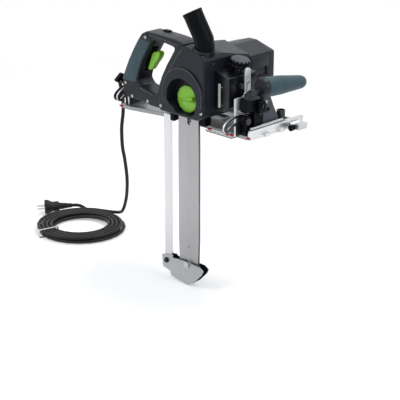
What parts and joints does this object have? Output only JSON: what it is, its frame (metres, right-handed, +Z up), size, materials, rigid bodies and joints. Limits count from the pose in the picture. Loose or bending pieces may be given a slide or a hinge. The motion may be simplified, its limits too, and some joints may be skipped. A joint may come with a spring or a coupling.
{
  "type": "carpentry chain saw",
  "caption": "Corded carpentry chain saw: motor head with a long upright guide bar, tilting cast sole, rear and front handles, coiled cord.",
  "frame": {"origin": "middle of the rear grip", "axes": "+X forward along the cut, +Y from the sprocket cover to the motor, +Z up"},
  "size_m": [0.7257, 0.2352, 0.586],
  "materials": {
    "anthracite_plastic": "fine moulded grain",
    "black_plastic": "satin",
    "green_plastic": "satin",
    "soft_grip": "soft-touch, ribbed",
    "grey_plastic": "satin",
    "steel": "ground",
    "aluminium": "bead-blasted",
    "sole_casting": "grey die casting",
    "copper_winding": "wound copper and laminations",
    "clear_window": "translucent",
    "cord_rubber": "matt jacket"
  },
  "bodies": {
    "saw_head": {"sprocket_cover": "anthracite_plastic", "gear_housing": "anthracite_plastic", "bar_stud": "steel", "shaft_bearing": "steel", "motor_bearing": "steel", "gearbox_plate": "aluminium", "stator": "steel", "motor_housing": "anthracite_plastic", "motor_end_cap": "anthracite_plastic", "oil_tank": "anthracite_plastic", "sight_window": "clear_window", "handle_shell_near": "anthracite_plastic", "handle_shell_far": "anthracite_plastic", "grip_pad": "soft_grip", "switch_unit": "black_plastic", "guide_bar": "steel", "support_rail": "aluminium", "rail_bracket": "steel", "chip_deflector": "black_plastic", "chain_catcher": "black_plastic", "shoe_near_plate": "anthracite_plastic", "shoe_far_plate": "anthracite_plastic", "nose_bolt": "steel", "front_pivot_plate": "aluminium", "rear_pivot_plate": "aluminium", "front_pivot_bolt": "steel", "rear_pivot_bolt": "steel", "strain_relief": "black_plastic", "cord_drop": "cord_rubber", "cord_coil": "cord_rubber", "coil_tie": "black_plastic", "plug": "black_plastic"},
    "cover_knob": {"cover_knob": "green_plastic"},
    "sprocket": {"drive_sprocket": "steel", "sprocket_shaft": "steel", "drive_gear": "steel"},
    "rotor": {"motor_pinion": "steel", "armature": "copper_winding", "cooling_fan": "black_plastic"},
    "spout": {"extraction_spout": "black_plastic"},
    "oil_cap": {"oil_cap": "black_plastic"},
    "trigger": {"trigger": "green_plastic"},
    "lock_button": {"lock_button": "black_plastic"},
    "front_lever": {"front_lever": "black_plastic"},
    "rear_lever": {"rear_lever": "black_plastic"},
    "base": {"sole_plate": "sole_casting", "front_segment": "aluminium", "rear_segment": "aluminium", "rear_bracket": "black_plastic", "front_bracket": "black_plastic", "buttress": "grey_plastic", "stop_sleeve": "steel", "front_beam": "aluminium", "fence_rod": "steel", "handle_arm": "anthracite_plastic", "front_grip": "soft_grip", "splinter_guard": "clear_window"},
    "guide_jaw": {"guide_jaw": "aluminium"},
    "jaw_knob": {"jaw_knob": "black_plastic"}
  },
  "joints": [
    {"name": "bevel_tilt", "type": "hinge", "parent": "saw_head", "child": "base", "pos_m": [0.118, 0.005, -0.118], "axis": [1, 0, 0], "range_deg": [-60, 10]},
    {"name": "cover_knob_turn", "type": "hinge", "parent": "saw_head", "child": "cover_knob", "pos_m": [0.1316, 0.005, -0.0567], "axis": [0, 1, 0], "range_deg": [0, 180]},
    {"name": "motor_spin", "type": "hinge", "parent": "saw_head", "child": "rotor", "pos_m": [0.13597, 0.105, -0.01401], "axis": [0, 1, 0], "continuous": true},
    {"name": "sprocket_spin", "type": "hinge", "parent": "saw_head", "child": "sprocket", "pos_m": [0.118, 0.005, -0.026], "axis": [0, 1, 0], "continuous": true},
    {"name": "spout_swivel", "type": "hinge", "parent": "saw_head", "child": "spout", "pos_m": [0.168, -0.005, 0.04372], "axis": [0.2419, 0, 0.9703], "range_deg": [-120, 120]},
    {"name": "cap_turn", "type": "hinge", "parent": "saw_head", "child": "oil_cap", "pos_m": [0.21, 0.047, 0.00513], "axis": [0.2079, 0, 0.9781], "range_deg": [0, 270]},
    {"name": "trigger_pull", "type": "hinge", "parent": "saw_head", "child": "trigger", "pos_m": [0.0215, 0, 0.0185], "axis": [0, 1, 0], "range_deg": [0, 6], "stiffness_Nm_per_rad": 1.5, "springref_deg": -2.86},
    {"name": "lock_press", "type": "slide", "parent": "saw_head", "child": "lock_button", "axis": [0, 0, -1], "range_m": [0, 0.002], "stiffness_N_per_m": 300, "springref_m": -0.0005},
    {"name": "front_lever_turn", "type": "hinge", "parent": "saw_head", "child": "front_lever", "pos_m": [0.2486, 0.01736, -0.07996], "axis": [1, 0, 0], "range_deg": [-70, 0]},
    {"name": "rear_lever_turn", "type": "hinge", "parent": "saw_head", "child": "rear_lever", "pos_m": [-0.066, 0.01736, -0.07996], "axis": [1, 0, 0], "range_deg": [0, 60]},
    {"name": "jaw_knob_turn", "type": "hinge", "parent": "guide_jaw", "child": "jaw_knob", "pos_m": [0.2831, 0.1257, -0.1115], "axis": [0, 1, 0], "range_deg": [-180, 180]},
    {"name": "jaw_slide", "type": "slide", "parent": "base", "child": "guide_jaw", "axis": [0, 1, 0], "range_m": [-0.0025, 0.0025]}
  ],
  "couplings": [
    {"joint": "sprocket_spin", "follows": "motor_spin", "ratio": -0.33333}
  ]
}
